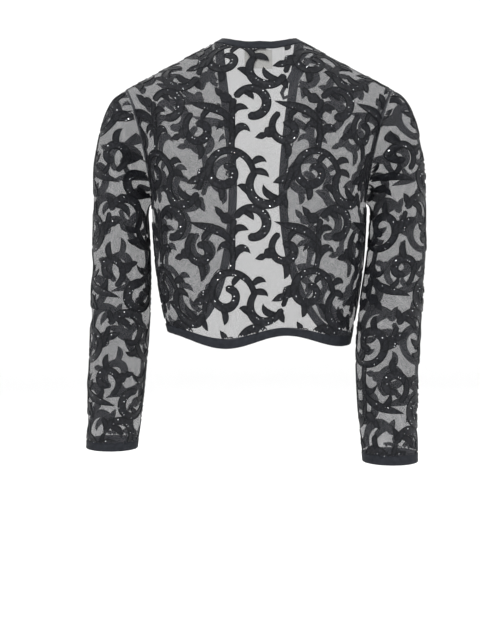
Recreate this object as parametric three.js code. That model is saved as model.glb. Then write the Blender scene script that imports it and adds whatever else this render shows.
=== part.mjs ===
// A cropped, open-front cardigan of sheer net with bound edges, as it hangs when it is worn.
// Millimetres. +Z is up, the front faces -Y, and +X is the wearer's left. The origin lies midway between
// the two points where the shoulder seams meet the neck band.
//
// Each piece of cloth is cut flat, as on a cutting table: u runs to the right and t runs up, both as seen
// from outside the garment. The piece is then wrapped onto the sections of a general figure.

import * as THREE from "three";

// Cloth and trim
const CLOTH = 2;
const SEAM_GAP = 0.3;
const TRIM_GAP = 0.8;
const BAND_WIDTH = 11;
const BAND_THICK = 2.6;

// Torso: half width across and depth to the back and front, at the hem seam and at the underarm.
const HEM = { z: -372, halfWidth: 121, back: 92, front: 90 };
const CHEST = { z: -205, halfWidth: 139, back: 106, front: 108 };
const SECTION_POWER = 2.5;
const SECTION_POINTS = 33;
// Shoulder line: its height over the middle, its fall for each millimetre outward, its half length, how
// squarely the cloth rolls over its end, and how late the cloth spreads out to it.
const SHOULDER = { apex: 30, fall: 0.52, halfWidth: 202, squareness: 6, spread: 1.5 };
// How the cloth rolls over from the chest to the shoulder line, behind and in front.
const ROLL = {
  back: { depthPower: 2.4, risePower: 1.5 },
  front: { depthPower: 1.8, risePower: 1.35 },
};
const BUST = { rise: 13, out: 84, spread: 46, z: -196, height: 62 };
// The hem dips and rises round the body, and stands out a little where it dips.
const HEM_WAVE = { dip: 7, flare: 4, length: 158, lowAt: 45, fadeHeight: 150 };

const NECK_HALF_WIDTH = 57;
const BACK_NECK_ROLL = 0.68;
const BACK_NECK_CURVE = 1.2;
// Where the armhole meets the shoulder line, as a share of the way from the middle to the side, and how
// soon it turns up from the underarm.
const ARMHOLE = { tip: 0.86, turn: 0.5 };

// Front edge: how far it stands from the middle at the bust, where its curve joins the hem, and how far
// each stretch runs straight on before it bends.
const FRONT_EDGE = {
  bustU: 40, bustT: 190, hemU: 135, hemPull: 74, underBust: 85, overBust: 70, underNeck: 80,
};

// Sleeves, from the cuff seam up to the underarm: ring centres and half sizes.
const SLEEVE_GIRTH = 250;
const SLEEVE_LEFT = [
  { z: -528, x: 199, y: -46, halfWidth: 33.5, halfDepth: 35 },
  { z: -466, x: 193, y: -36, halfWidth: 36, halfDepth: 38 },
  { z: -393, x: 187, y: -22, halfWidth: 37.5, halfDepth: 42 },
  { z: -334, x: 183.5, y: -12, halfWidth: 38, halfDepth: 44 },
  { z: -280, x: 181.5, y: -5, halfWidth: 37, halfDepth: 46 },
  { z: -225, x: 182, y: -1, halfWidth: 34.5, halfDepth: 49 },
];
const SLEEVE_RIGHT = [
  { z: -528, x: -168, y: 58, halfWidth: 34, halfDepth: 35 },
  { z: -466, x: -165, y: 54, halfWidth: 36.5, halfDepth: 38 },
  { z: -393, x: -166, y: 46, halfWidth: 39.5, halfDepth: 42 },
  { z: -334, x: -171.5, y: 34, halfWidth: 39, halfDepth: 44 },
  { z: -280, x: -179, y: 18, halfWidth: 37, halfDepth: 46 },
  { z: -225, x: -182, y: 5, halfWidth: 34.5, halfDepth: 49 },
];
const SLEEVE_CAP = { fall: 0.36, riseShare: 0.5, reachShare: 0.75 };
const ARMHOLE_INSET = { top: 2.6, underarm: 8.6 };

// Trim inside the back neck
const LABEL = { u: -2, drop: 1, width: 35, height: 30, thick: 0.8 };
const LOOP = { fromU: 64, fromT: 384, toU: 27, toT: 303, ribbon: 5, gap: 10, thick: 0.8 };

const { cos, sin, abs, sign, min, max, PI, hypot } = Math;
const mix = THREE.MathUtils.lerp;
const point = (u, t) => new THREE.Vector2(u, t);

// The figure

const section = new THREE.SplineCurve(
  Array.from({ length: SECTION_POINTS }, (_, i) => {
    const angle = (i / (SECTION_POINTS - 1)) * (PI / 2);
    return point(
      CHEST.halfWidth * sin(angle) ** (2 / SECTION_POWER),
      CHEST.back * cos(angle) ** (2 / SECTION_POWER),
    );
  }),
);
const HALF_GIRTH = section.getLength();

// Share of the half width and of the depth reached at a share of the way from the middle to the side.
function sectionShare(across) {
  const past = across > 1;
  const at = section.getPointAt(past ? 2 - across : across);
  return { x: at.x / CHEST.halfWidth, y: (past ? -at.y : at.y) / CHEST.back };
}

// One upright line on the torso. across is from -1 to 1 along +X; v is 0 at the hem seam, 1 at the
// underarm and 2 on the shoulder line.
function torsoLine(side, across, waved = true) {
  const share = sectionShare(abs(across));
  const toSide = sign(across) || 1;
  const outward = side === "back" ? 1 : -1;
  const roll = ROLL[side];
  const depthPower = mix(roll.depthPower, SHOULDER.squareness, across ** 2);
  const chestX = toSide * CHEST.halfWidth * share.x;
  const shoulderX = SHOULDER.halfWidth * across;
  const shoulderZ = SHOULDER.apex - SHOULDER.fall * abs(shoulderX);
  const phase = (2 * PI * (chestX * (HEM.halfWidth / CHEST.halfWidth) - HEM_WAVE.lowAt)) / HEM_WAVE.length;

  return (v) => {
    const low = min(v, 1);
    const up = max(v - 1, 0);
    const spread = 1 - (1 - low) ** 2;
    const depth = outward * share.y * mix(HEM[side], CHEST[side], spread);
    const lowZ = mix(HEM.z, CHEST.z, low);
    const x = toSide * share.x * mix(HEM.halfWidth, CHEST.halfWidth, spread);
    const z = lowZ + (shoulderZ - CHEST.z) * (1 - (1 - up) ** roll.risePower);
    const place = new THREE.Vector3(
      mix(x, shoulderX, up ** SHOULDER.spread),
      depth * (1 - up ** depthPower),
      z,
    );
    const fade = waved ? max(0, 1 - (lowZ - HEM.z) / HEM_WAVE.fadeHeight) ** 2 : 0;
    place.z -= HEM_WAVE.dip * cos(phase) * fade;
    place.y += outward * share.y * HEM_WAVE.flare * cos(phase) * fade;
    if (side === "front") {
      const off = ((abs(place.x) - BUST.out) / BUST.spread) ** 2;
      const level = ((place.z - BUST.z) / BUST.height) ** 2;
      place.y -= BUST.rise * Math.exp(-off - level) * min(1, share.y * 2);
    }
    return place;
  };
}

// A line measured along its own length, from v = 0. A waved hem is measured as if it were level.
const LINE_STEPS = 48;
function measured(line, level = line) {
  const stops = [0];
  let last = level(0);
  for (let i = 1; i <= LINE_STEPS; i++) {
    const next = level((2 * i) / LINE_STEPS);
    stops.push(stops[i - 1] + next.distanceTo(last));
    last = next;
  }
  const step = 2 / LINE_STEPS;
  return {
    length: (v) => {
      const i = min(LINE_STEPS - 1, Math.floor(v / step));
      return mix(stops[i], stops[i + 1], v / step - i);
    },
    at: (t) => {
      let i = 0;
      while (i < LINE_STEPS - 1 && stops[i + 1] < t) i++;
      const share = (t - stops[i]) / (stops[i + 1] - stops[i]);
      const v = (i + share) * step;
      return v > 2 ? line(2).lerp(line(2 - step), (2 - v) / step) : line(v);
    },
  };
}

const torsoColumn = (side, across) => measured(torsoLine(side, across), torsoLine(side, across, false));
const torsoT = (side, across, v) => torsoColumn(side, across).length(v);

// The back is seen from behind, so its u runs to -X.
const wrapBack = (u) => torsoColumn("back", -u / HALF_GIRTH);
const wrapFront = (u) => torsoColumn("front", u / HALF_GIRTH);

// Sleeves

// The armhole in torso terms, round from the shoulder line at 0 to the underarm at PI.
function armholeStop(angle) {
  const up = (1 + cos(angle)) / 2;
  return { across: mix(1, ARMHOLE.tip, up ** ARMHOLE.turn), v: 1 + up };
}

function armholePoint(side, angle) {
  const { across, v } = armholeStop(angle);
  return torsoLine(side * sin(angle) > 0 ? "back" : "front", side * across)(v);
}

// Rings are joined by a smooth curve through their centres and sizes.
function ringsOf(rows) {
  const centre = new THREE.CatmullRomCurve3(
    rows.map((r) => new THREE.Vector3(r.x, r.y, r.z)), false, "catmullrom", 0.5,
  );
  const size = new THREE.SplineCurve(rows.map((r) => point(r.halfWidth, r.halfDepth)));
  return { centre, size };
}

// One line up a sleeve, from the cuff seam over the underarm level to the armhole. Below the cuff seam it
// runs straight on.
const CUFF_SLOPE_STEP = 0.05;
function sleeveLine(side, rings, angle) {
  const ring = (share) => {
    const middle = rings.centre.getPoint(max(0, share));
    const half = rings.size.getPoint(max(0, share));
    return new THREE.Vector3(
      middle.x + side * cos(angle) * half.x,
      middle.y + side * sin(angle) * half.y,
      middle.z,
    );
  };
  const top = ring(1);
  const seam = armholePoint(side, angle);
  const holeMiddle = armholePoint(side, 0).add(armholePoint(side, PI)).multiplyScalar(0.5);
  const inset = mix(ARMHOLE_INSET.top, ARMHOLE_INSET.underarm, (1 - cos(angle)) / 2);
  seam.lerp(holeMiddle, inset / seam.distanceTo(holeMiddle));
  const reach = SLEEVE_CAP.reachShare * hypot(top.x - seam.x, top.y - seam.y);
  const rise = SLEEVE_CAP.riseShare * (seam.z - top.z);
  const cap = new THREE.CubicBezierCurve3(
    top,
    top.clone().add(new THREE.Vector3(0, 0, rise)),
    seam.clone().add(new THREE.Vector3(side * reach, 0, -SLEEVE_CAP.fall * reach)),
    seam,
  );
  return (v) => {
    if (v > 1) return cap.getPoint(min(v - 1, 1));
    if (v >= 0) return ring(v);
    return ring(0).add(ring(0).sub(ring(CUFF_SLOPE_STEP)).multiplyScalar(-v / CUFF_SLOPE_STEP));
  };
}

const sleeves = {
  left: { side: 1, rings: ringsOf(SLEEVE_LEFT) },
  right: { side: -1, rings: ringsOf(SLEEVE_RIGHT) },
};
const sleeveAngle = (u) => (2 * PI * u) / SLEEVE_GIRTH;
const wrapSleeve = ({ side, rings }) => (u) => measured(sleeveLine(side, rings, sleeveAngle(u)));

// Where a flat point comes to lie on the figure, and the way out from it.
const SLOPE_STEP = 0.5;
function onFigure(lineAt, u, t) {
  const line = lineAt(u);
  const alongU = lineAt(u + SLOPE_STEP).at(t).sub(lineAt(u - SLOPE_STEP).at(t));
  const alongT = line.at(t + SLOPE_STEP).sub(line.at(t - SLOPE_STEP));
  return { place: line.at(t), normal: alongU.cross(alongT).normalize() };
}

// Wraps a flat solid: height above the table becomes distance out from the figure.
function wrapped({ places, faces }, lineAt) {
  const out = new Float32Array(places.length * 3);
  places.forEach(([u, t, height], i) => {
    const { place, normal } = onFigure(lineAt, u, t);
    place.addScaledVector(normal, height).toArray(out, i * 3);
  });
  const geometry = new THREE.BufferGeometry();
  geometry.setAttribute("position", new THREE.BufferAttribute(out, 3));
  geometry.setIndex(faces.flat());
  geometry.computeVertexNormals();
  return geometry;
}

// Flat seam lines

const ARMHOLE_STEPS = 12;
const SIDE_STEPS = 5;
const SHOULDER_STEPS = 8;
const NECK_STEPS = 12;
const UPPER_EDGE_STEPS = 8;
const LOWER_EDGE_STEPS = SIDE_STEPS + ARMHOLE_STEPS - UPPER_EDGE_STEPS;
const SLEEVE_ROWS = 14;
const LABEL_STEPS = 4;
const LOOP_STEPS = 6;

const samples = (count, make) => Array.from({ length: count + 1 }, (_, i) => make(i / count));
const joined = (...lines) => lines.flatMap((line, i) => (i ? line.slice(1) : line));
const mirrored = (line) => line.map((p) => point(-p.x, p.y));
const straight = (from, to, steps) => samples(steps, (i) => from.clone().lerp(to, i));

// From the hem up the side seam, then round the armhole to the tip of the shoulder, on the +u side.
function sideLine(side) {
  const armhole = samples(ARMHOLE_STEPS, (i) => {
    const { across, v } = armholeStop(PI * (1 - i));
    return point(HALF_GIRTH * across, torsoT(side, across, v));
  });
  return joined(straight(point(HALF_GIRTH, 0), armhole[0], SIDE_STEPS), armhole);
}

const neckU = HALF_GIRTH * (NECK_HALF_WIDTH / SHOULDER.halfWidth);
const shoulderT = (side, u) => torsoT(side, u / HALF_GIRTH, 2);

// From the neck to the tip of the shoulder, on the +u side.
function shoulderLine(side) {
  return samples(SHOULDER_STEPS, (i) => {
    const u = mix(neckU, HALF_GIRTH * ARMHOLE.tip, i);
    return point(u, shoulderT(side, u));
  });
}

// From the left of the back neck to its right, seen from behind.
const backNeckT = torsoT("back", 0, 1 + BACK_NECK_ROLL);
const neckLine = samples(NECK_STEPS, (i) => {
  const angle = mix(-PI / 2, PI / 2, i);
  const top = shoulderT("back", neckU);
  return point(neckU * sin(angle), top - (top - backNeckT) * cos(angle) ** BACK_NECK_CURVE);
});

// From the hem up the front edge to the neck, on the +u side.
const frontEdge = (() => {
  const top = shoulderT("front", neckU);
  const { bustU, bustT, hemU, hemPull, underBust, overBust, underNeck } = FRONT_EDGE;
  const lower = new THREE.CubicBezierCurve(
    point(hemU, 0), point(hemU - hemPull, 0), point(bustU, bustT - underBust), point(bustU, bustT),
  );
  const upper = new THREE.CubicBezierCurve(
    point(bustU, bustT), point(bustU, bustT + overBust), point(neckU, top - underNeck), point(neckU, top),
  );
  return joined(lower.getPoints(LOWER_EDGE_STEPS), upper.getPoints(UPPER_EDGE_STEPS));
})();

// A closed outline, counterclockwise, moved in by a distance. Corners are mitred.
function movedIn(outline, distance) {
  return outline.map((here, i) => {
    const before = outline[(i + outline.length - 1) % outline.length];
    const after = outline[(i + 1) % outline.length];
    const into = here.clone().sub(before).normalize();
    const onward = after.clone().sub(here).normalize();
    const normal = point(-into.y - onward.y, into.x + onward.x).normalize();
    const miter = max(0.4, normal.dot(point(-into.y, into.x)));
    return here.clone().addScaledVector(normal, distance / miter);
  });
}

// An open line moved to its right by a distance.
function movedRight(line, distance) {
  return line.map((here, i) => {
    const along = line[min(i + 1, line.length - 1)].clone().sub(line[max(i - 1, 0)]).normalize();
    return here.clone().add(point(along.y, -along.x).multiplyScalar(distance));
  });
}

// A cut piece from its four sides: bottom and top run to the right, left and right run up. Its inner
// points are blended from the sides. Returns rows of points, from the bottom up.
function cutPiece(bottom, right, top, left) {
  const columns = bottom.length - 1;
  const rows = left.length - 1;
  const sides = [bottom, right, [...top].reverse(), [...left].reverse()];
  const outline = movedIn(sides.flatMap((side) => side.slice(0, -1)), SEAM_GAP / 2);
  const low = (i) => outline[i];
  const far = (j) => outline[columns + j];
  const high = (i) => outline[2 * columns + rows - i];
  const near = (j) => outline[(2 * columns + 2 * rows - j) % outline.length];
  return Array.from({ length: rows + 1 }, (_, j) =>
    Array.from({ length: columns + 1 }, (_, i) => {
      const [c, r] = [i / columns, j / rows];
      const upright = low(i).clone().lerp(high(i), r);
      const level = near(j).clone().lerp(far(j), c);
      const corners = low(0).clone().lerp(low(columns), c).lerp(high(0).clone().lerp(high(columns), c), r);
      return upright.add(level).sub(corners);
    }));
}

// A strip beside an open line, on its right, as two rows of points, with its ends left short of a seam.
function strip(line, width, ends = {}) {
  const near = movedRight(line, SEAM_GAP / 2);
  const far = movedRight(line, width);
  if (ends.start) far[0] = ends.start;
  if (ends.finish) far[far.length - 1] = ends.finish;
  return [far, near];
}

// A solid between two heights over rows of points. Rows run to the right, and the next row is above.
function slab(grid, low, high) {
  const rows = grid.length;
  const columns = grid[0].length;
  const layer = rows * columns;
  const places = [low, high].flatMap((height) => grid.flat().map((p) => [p.x, p.y, height]));
  const faces = [];
  const quad = (a, b, c, d) => faces.push([a, b, c], [a, c, d]);
  const at = (j, i) => j * columns + i;
  for (let j = 0; j < rows - 1; j++) {
    for (let i = 0; i < columns - 1; i++) {
      const [a, b, c, d] = [at(j, i), at(j, i + 1), at(j + 1, i + 1), at(j + 1, i)];
      quad(a + layer, b + layer, c + layer, d + layer);
      quad(d, c, b, a);
    }
  }
  const wall = (a, b) => quad(a, b, b + layer, a + layer);
  for (let i = 0; i < columns - 1; i++) {
    wall(at(0, i), at(0, i + 1));
    wall(at(rows - 1, i + 1), at(rows - 1, i));
  }
  for (let j = 0; j < rows - 1; j++) {
    wall(at(j, columns - 1), at(j + 1, columns - 1));
    wall(at(j + 1, 0), at(j, 0));
  }
  return { places, faces };
}

// The pieces

const NET = { color: 0x1a1b1f, roughness: 0.75 };
const BINDING = { color: 0x10131a, roughness: 0.85 };
const COTTON = { color: 0xe6e4da, roughness: 0.9 };
const RIBBON = { color: 0x0c0d11, roughness: 0.5 };

const cardigan = new THREE.Group();
function add(name, flat, lineAt, look) {
  const mesh = new THREE.Mesh(wrapped(flat, lineAt), new THREE.MeshStandardMaterial(look));
  mesh.name = name;
  cardigan.add(mesh);
}

const clothPiece = (name, grid, lineAt) => add(name, slab(grid, 0, CLOTH), lineAt, NET);
function bandPiece(name, grid, lineAt) {
  const below = (CLOTH - BAND_THICK) / 2;
  add(name, slab(grid, below, below + BAND_THICK), lineAt, BINDING);
}
const insidePiece = (name, grid, thick, lineAt, look) =>
  add(name, slab(grid, -TRIM_GAP - thick, -TRIM_GAP), lineAt, look);

const flipped = (grid) => grid.map((row) => mirrored(row).reverse());

const backSide = sideLine("back");
const backShoulder = shoulderLine("back");
const backTop = joined(mirrored(backShoulder).reverse(), neckLine, backShoulder);
const hem = straight(point(-HALF_GIRTH, 0), point(HALF_GIRTH, 0), backTop.length - 1);
clothPiece("back", cutPiece(hem, backSide, backTop, mirrored(backSide)), wrapBack);

const frontHem = straight(frontEdge[0], point(HALF_GIRTH, 0), SHOULDER_STEPS);
const front = cutPiece(frontHem, sideLine("front"), shoulderLine("front"), frontEdge);
clothPiece("front_left", front, wrapFront);
clothPiece("front_right", flipped(front), wrapFront);

// The neck and front bands end on the shoulder seams.
const bandEndU = neckU - BAND_WIDTH;
const neckSeam = neckLine.map((p) => p.clone());
neckSeam[0].y -= SEAM_GAP / 2;
neckSeam[NECK_STEPS].y -= SEAM_GAP / 2;
const backEndT = shoulderT("back", bandEndU) - SEAM_GAP;
const neckBand = strip([...neckSeam].reverse(), BAND_WIDTH, {
  start: point(bandEndU, backEndT), finish: point(-bandEndU, backEndT),
});
bandPiece("neck_band", neckBand, wrapBack);

const frontSeam = joined([...frontEdge].reverse(), frontHem).map((p) => p.clone());
frontSeam[0].y -= SEAM_GAP / 2;
frontSeam[frontSeam.length - 1].x -= SEAM_GAP / 2;
const frontBand = strip(frontSeam, BAND_WIDTH, {
  start: point(bandEndU, shoulderT("front", bandEndU) - SEAM_GAP),
});
bandPiece("front_band_left", frontBand, wrapFront);
bandPiece("front_band_right", flipped(frontBand), wrapFront);

const hemSeam = hem.map((p) => p.clone());
hemSeam[0].x += SEAM_GAP / 2;
hemSeam[hemSeam.length - 1].x -= SEAM_GAP / 2;
bandPiece("hem_band", strip(hemSeam, BAND_WIDTH), wrapBack);

for (const [name, sleeve] of Object.entries(sleeves)) {
  const wrap = wrapSleeve(sleeve);
  const half = SLEEVE_GIRTH / 2;
  const cuff = straight(point(-half, 0), point(half, 0), 2 * ARMHOLE_STEPS);
  const cap = cuff.map(({ x }) => point(x, wrap(x).length(2)));
  const seam = (u) => straight(point(u, 0), point(u, cap[0].y), SLEEVE_ROWS);
  clothPiece("sleeve_" + name, cutPiece(cuff, seam(half), cap, seam(-half)), wrap);
  cuff[0].x += SEAM_GAP / 2;
  cuff[cuff.length - 1].x -= SEAM_GAP / 2;
  bandPiece("cuff_" + name, strip(cuff, BAND_WIDTH), wrap);
}

const labelTop = backNeckT - LABEL.drop;
const labelRow = (t) =>
  straight(point(LABEL.u - LABEL.width / 2, t), point(LABEL.u + LABEL.width / 2, t), LABEL_STEPS);
const labelStrip = [labelRow(labelTop - LABEL.height), labelRow(labelTop)];
insidePiece("label", labelStrip, LABEL.thick, wrapBack, COTTON);

// A ribbon folded in two: down one strand, round its end and back up the other.
const loopMiddle = (() => {
  const from = point(LOOP.fromU, LOOP.fromT);
  const down = point(LOOP.toU, LOOP.toT).sub(from);
  const across = point(-down.y, down.x).setLength(LOOP.gap);
  const strand = straight(from, from.clone().add(down), LOOP_STEPS);
  const back = strand.map((p) => p.clone().add(across)).reverse();
  const end = strand[LOOP_STEPS].clone().lerp(back[0], 0.5);
  end.addScaledVector(down, LOOP.gap / 2 / down.length());
  return [...strand, end, ...back];
})();
const loopSide = (away) => movedRight(loopMiddle, away);
const loopStrip = [loopSide(LOOP.ribbon / 2), loopSide(-LOOP.ribbon / 2)];
insidePiece("hanger_loop", loopStrip, LOOP.thick, wrapBack, RIBBON);

export default cardigan;
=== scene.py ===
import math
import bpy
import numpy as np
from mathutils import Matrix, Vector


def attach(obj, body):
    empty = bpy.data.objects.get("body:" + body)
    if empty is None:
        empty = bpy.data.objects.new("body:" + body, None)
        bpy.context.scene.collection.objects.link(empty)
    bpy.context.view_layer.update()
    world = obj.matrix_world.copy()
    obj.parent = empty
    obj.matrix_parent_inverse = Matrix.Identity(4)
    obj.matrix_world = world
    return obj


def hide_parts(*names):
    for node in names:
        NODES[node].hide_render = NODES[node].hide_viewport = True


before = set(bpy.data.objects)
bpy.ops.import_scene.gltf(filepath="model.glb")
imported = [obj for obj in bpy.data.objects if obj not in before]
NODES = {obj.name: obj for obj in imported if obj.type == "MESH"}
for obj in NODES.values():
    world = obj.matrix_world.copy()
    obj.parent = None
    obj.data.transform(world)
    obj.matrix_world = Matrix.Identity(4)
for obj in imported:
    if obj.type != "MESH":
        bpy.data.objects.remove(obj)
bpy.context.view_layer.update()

# %% [markdown]
# # A cropped cardigan of sheer, scroll-embroidered net
#
# Each piece is drawn flat in millimetres, as it was cut: u runs to the right and t runs up, both as seen
# from outside. A surface then carries flat points onto the worn shape. The embroidery is charted from
# circles and curves, laid on the flat pieces, and carried over with them. Modelling it straight on the worn
# shape would be harder to lay out and to change.

print("nodes:", len(NODES))

# %% [markdown]
# ## The camera
#
# The camera stands behind the garment, a little below the shoulders, and looks slightly down. A long lens
# some way off keeps both sleeves at nearly the same scale.

# %% Camera
CAMERA = {"place": (0.025, 1.8, -0.235), "tilt": 86.0, "turn": 180, "lens": 76.7}


def add_object(name, data):
    obj = bpy.data.objects.new(name, data)
    bpy.context.scene.collection.objects.link(obj)
    return obj


camera_data = bpy.data.cameras.new("camera")
camera_data.lens = CAMERA["lens"]
camera = add_object("camera", camera_data)
camera.location = CAMERA["place"]
camera.rotation_euler = (math.radians(CAMERA["tilt"]), 0, math.radians(CAMERA["turn"]))
bpy.context.scene.camera = camera
print("camera:", CAMERA["place"], "m, lens", CAMERA["lens"], "mm")

# %% [markdown]
# ## The worn shape
#
# The torso is a rounded oblong section that widens from the hem to the underarm and rolls over onto the
# shoulder line. It could be sculpted, but a few sizes in a formula give an even surface that is easy to
# measure along. First comes the section, and the length along it.

# %% Torso sizes and section
HEM = {"z": -372, "half_width": 121, "back": 92, "front": 90}
CHEST = {"z": -205, "half_width": 139, "back": 106, "front": 108}
SECTION = {"power": 2.5, "points": 600}


def lengths_along(points):
    """The length of a line of points, measured up to each point."""
    steps = np.linalg.norm(np.diff(points, axis=0), axis=1)
    return np.concatenate([[0], np.cumsum(steps)])


quarter = np.linspace(0, math.pi / 2, SECTION["points"])
section = np.stack([
    CHEST["half_width"] * np.sin(quarter) ** (2 / SECTION["power"]),
    CHEST["back"] * np.cos(quarter) ** (2 / SECTION["power"]),
], axis=1)
section_length = lengths_along(section)
HALF_GIRTH = section_length[-1]
print("half girth:", round(HALF_GIRTH, 1), "mm")

# %% [markdown]
# Each point of the torso has a place across and a level: level 0 is the hem, 1 the underarm and 2 the
# shoulder line. The hem dips and flares in soft waves, and the fronts stand out over the bust.

# %% Torso
SHOULDER = {"apex": 30, "fall": 0.52, "half_width": 202, "squareness": 6, "spread": 1.5}
ROLL = {"back": (2.4, 1.5), "front": (1.8, 1.35)}  # powers for depth and height
BUST = {"rise": 13, "out": 84, "spread": 46, "z": -196, "height": 62, "side_fade": 2}
WAVE = {"dip": 7, "flare": 4, "length": 158, "low_at": 45, "fade_height": 150}


def mix(a, b, share):
    return a + (b - a) * share


def torso(side, across, v, waved=True):
    """Places on the torso. across is from -1 to 1 along +X."""
    across, v = np.broadcast_arrays(across, v)
    size = np.abs(across)
    past = size > 1
    at = np.where(past, 2 - size, size) * HALF_GIRTH
    share_x = np.interp(at, section_length, section[:, 0]) / CHEST["half_width"]
    share_y = np.interp(at, section_length, section[:, 1]) / CHEST["back"] * np.where(past, -1, 1)
    to_side = np.where(across < 0, -1, 1)
    outward = 1 if side == "back" else -1
    depth_power = mix(ROLL[side][0], SHOULDER["squareness"], across ** 2)
    chest_x = to_side * CHEST["half_width"] * share_x
    shoulder_x = SHOULDER["half_width"] * across
    shoulder_z = SHOULDER["apex"] - SHOULDER["fall"] * np.abs(shoulder_x)
    phase = 2 * math.pi * (chest_x * HEM["half_width"] / CHEST["half_width"] - WAVE["low_at"])
    phase /= WAVE["length"]
    low = np.minimum(v, 1)
    up = np.maximum(v - 1, 0)
    spread = 1 - (1 - low) ** 2
    depth = outward * share_y * mix(HEM[side], CHEST[side], spread)
    low_z = mix(HEM["z"], CHEST["z"], low)
    x = to_side * share_x * mix(HEM["half_width"], CHEST["half_width"], spread)
    x = mix(x, shoulder_x, up ** SHOULDER["spread"])
    y = depth * (1 - up ** depth_power)
    z = low_z + (shoulder_z - CHEST["z"]) * (1 - (1 - up) ** ROLL[side][1])
    if waved:
        fade = np.clip(1 - (low_z - HEM["z"]) / WAVE["fade_height"], 0, None) ** 2
        z = z - WAVE["dip"] * np.cos(phase) * fade
        y = y + outward * share_y * WAVE["flare"] * np.cos(phase) * fade
    if side == "front":
        off = ((np.abs(x) - BUST["out"]) / BUST["spread"]) ** 2
        level = ((z - BUST["z"]) / BUST["height"]) ** 2
        y = y - BUST["rise"] * np.exp(-off - level) * np.minimum(1, share_y * BUST["side_fade"])
    return np.stack([x, y, z], axis=-1)


print("back of the neck at", np.round(torso("back", 0, 2), 1), "mm")

# %% [markdown]
# ## From flat to worn
#
# `Surface` measures each upright line of a shape once and keeps the result as a fine grid, with the
# direction that faces outward. Looking places up in the grid is quick enough for the whole embroidery.

# %% Surfaces
GRID = 2.0
MARGIN = {"side": 4, "below": 14.0, "above": 16}
HAIR = 0.01  # so that the last line counts
LEVELS_BELOW = (-0.15, -0.08)
LEVELS = 121
LAST_CELL = 1.001  # so that every point has a next one


class Surface:
    """A shape given as line(u, v): v is 0 at the lower seam and 2 at the upper one. level is the same
    shape with an even lower seam, and t is measured on that."""

    def __init__(self, half_width, line, level=None):
        self.u0 = -half_width - MARGIN["side"]
        self.t0 = -MARGIN["below"]
        us = np.arange(self.u0, half_width + MARGIN["side"] + HAIR, GRID)
        vs = np.concatenate([LEVELS_BELOW, np.linspace(0, 2, LEVELS)])
        places = line(us[:, None], vs[None, :])
        even = places if level is None else level(us[:, None], vs[None, :])
        lengths = np.array([lengths_along(upright) for upright in even])
        lengths -= lengths[:, [len(LEVELS_BELOW)]]
        self.us, self.vs, self.lengths = us, vs, lengths
        ts = np.arange(self.t0, lengths.max() + MARGIN["above"], GRID)
        self.places = np.empty((len(us), len(ts), 3))
        for i in range(len(us)):
            for axis in range(3):
                column = np.interp(ts, lengths[i], places[i, :, axis])
                past = ts > lengths[i, -1]
                slope = (places[i, -1, axis] - places[i, -3, axis]) / (lengths[i, -1] - lengths[i, -3])
                column[past] = places[i, -1, axis] + slope * (ts[past] - lengths[i, -1])
                self.places[i, :, axis] = column
        normals = np.cross(np.gradient(self.places, axis=0), np.gradient(self.places, axis=1))
        self.normals = normals / np.maximum(np.linalg.norm(normals, axis=2, keepdims=True), 1e-9)

    def top(self, u, v=2.0):
        """The flat height of level v on the upright line at u."""
        column = int(round((u - self.u0) / GRID))
        near = min(max(column, 0), len(self.us) - 1)
        other = min(max(near + (1 if u > self.us[near] else -1), 0), len(self.us) - 1)
        here = np.interp(v, self.vs, self.lengths[near])
        there = np.interp(v, self.vs, self.lengths[other])
        gap = abs(self.us[other] - self.us[near]) or 1
        return mix(here, there, abs(u - self.us[near]) / gap)

    def carry(self, flat, height=0.0):
        """Flat points to places on the worn shape, a height out from it."""
        flat = np.asarray(flat, float)
        x = np.clip((flat[:, 0] - self.u0) / GRID, 0, self.places.shape[0] - LAST_CELL)
        y = np.clip((flat[:, 1] - self.t0) / GRID, 0, self.places.shape[1] - LAST_CELL)
        i, j = x.astype(int), y.astype(int)
        fx, fy = (x - i)[:, None], (y - j)[:, None]

        def blended(grid):
            low = mix(grid[i, j], grid[i + 1, j], fx)
            high = mix(grid[i, j + 1], grid[i + 1, j + 1], fx)
            return mix(low, high, fy)

        out = np.broadcast_to(np.asarray(height, float), (len(flat),))[:, None]
        return blended(self.places) + blended(self.normals) * out


back = Surface(
    HALF_GIRTH,
    lambda u, v: torso("back", -u / HALF_GIRTH, v),
    lambda u, v: torso("back", -u / HALF_GIRTH, v, False),
)
front = Surface(
    HALF_GIRTH,
    lambda u, v: torso("front", u / HALF_GIRTH, v),
    lambda u, v: torso("front", u / HALF_GIRTH, v, False),
)
print("back height:", round(float(back.top(60)), 1), "mm")

# %% [markdown]
# ## The sleeves
#
# A sleeve is a row of oval rings from the cuff to the underarm, with a smooth curve through them. The
# left arm hangs a little forward and the right one a little back, so each has rings of its own.

# %% Sleeve rings
SLEEVE_GIRTH = 250
RINGS = {  # z, x, y, half width, half depth, from the cuff up
    "left": [
        (-528, 199, -46, 33.5, 35), (-466, 193, -36, 36, 38), (-393, 187, -22, 37.5, 42),
        (-334, 183.5, -12, 38, 44), (-280, 181.5, -5, 37, 46), (-225, 182, -1, 34.5, 49)],
    "right": [
        (-528, -168, 58, 34, 35), (-466, -165, 54, 36.5, 38), (-393, -166, 46, 39.5, 42),
        (-334, -171.5, 34, 39, 44), (-280, -179, 18, 37, 46), (-225, -182, 5, 34.5, 49)],
}


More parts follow.
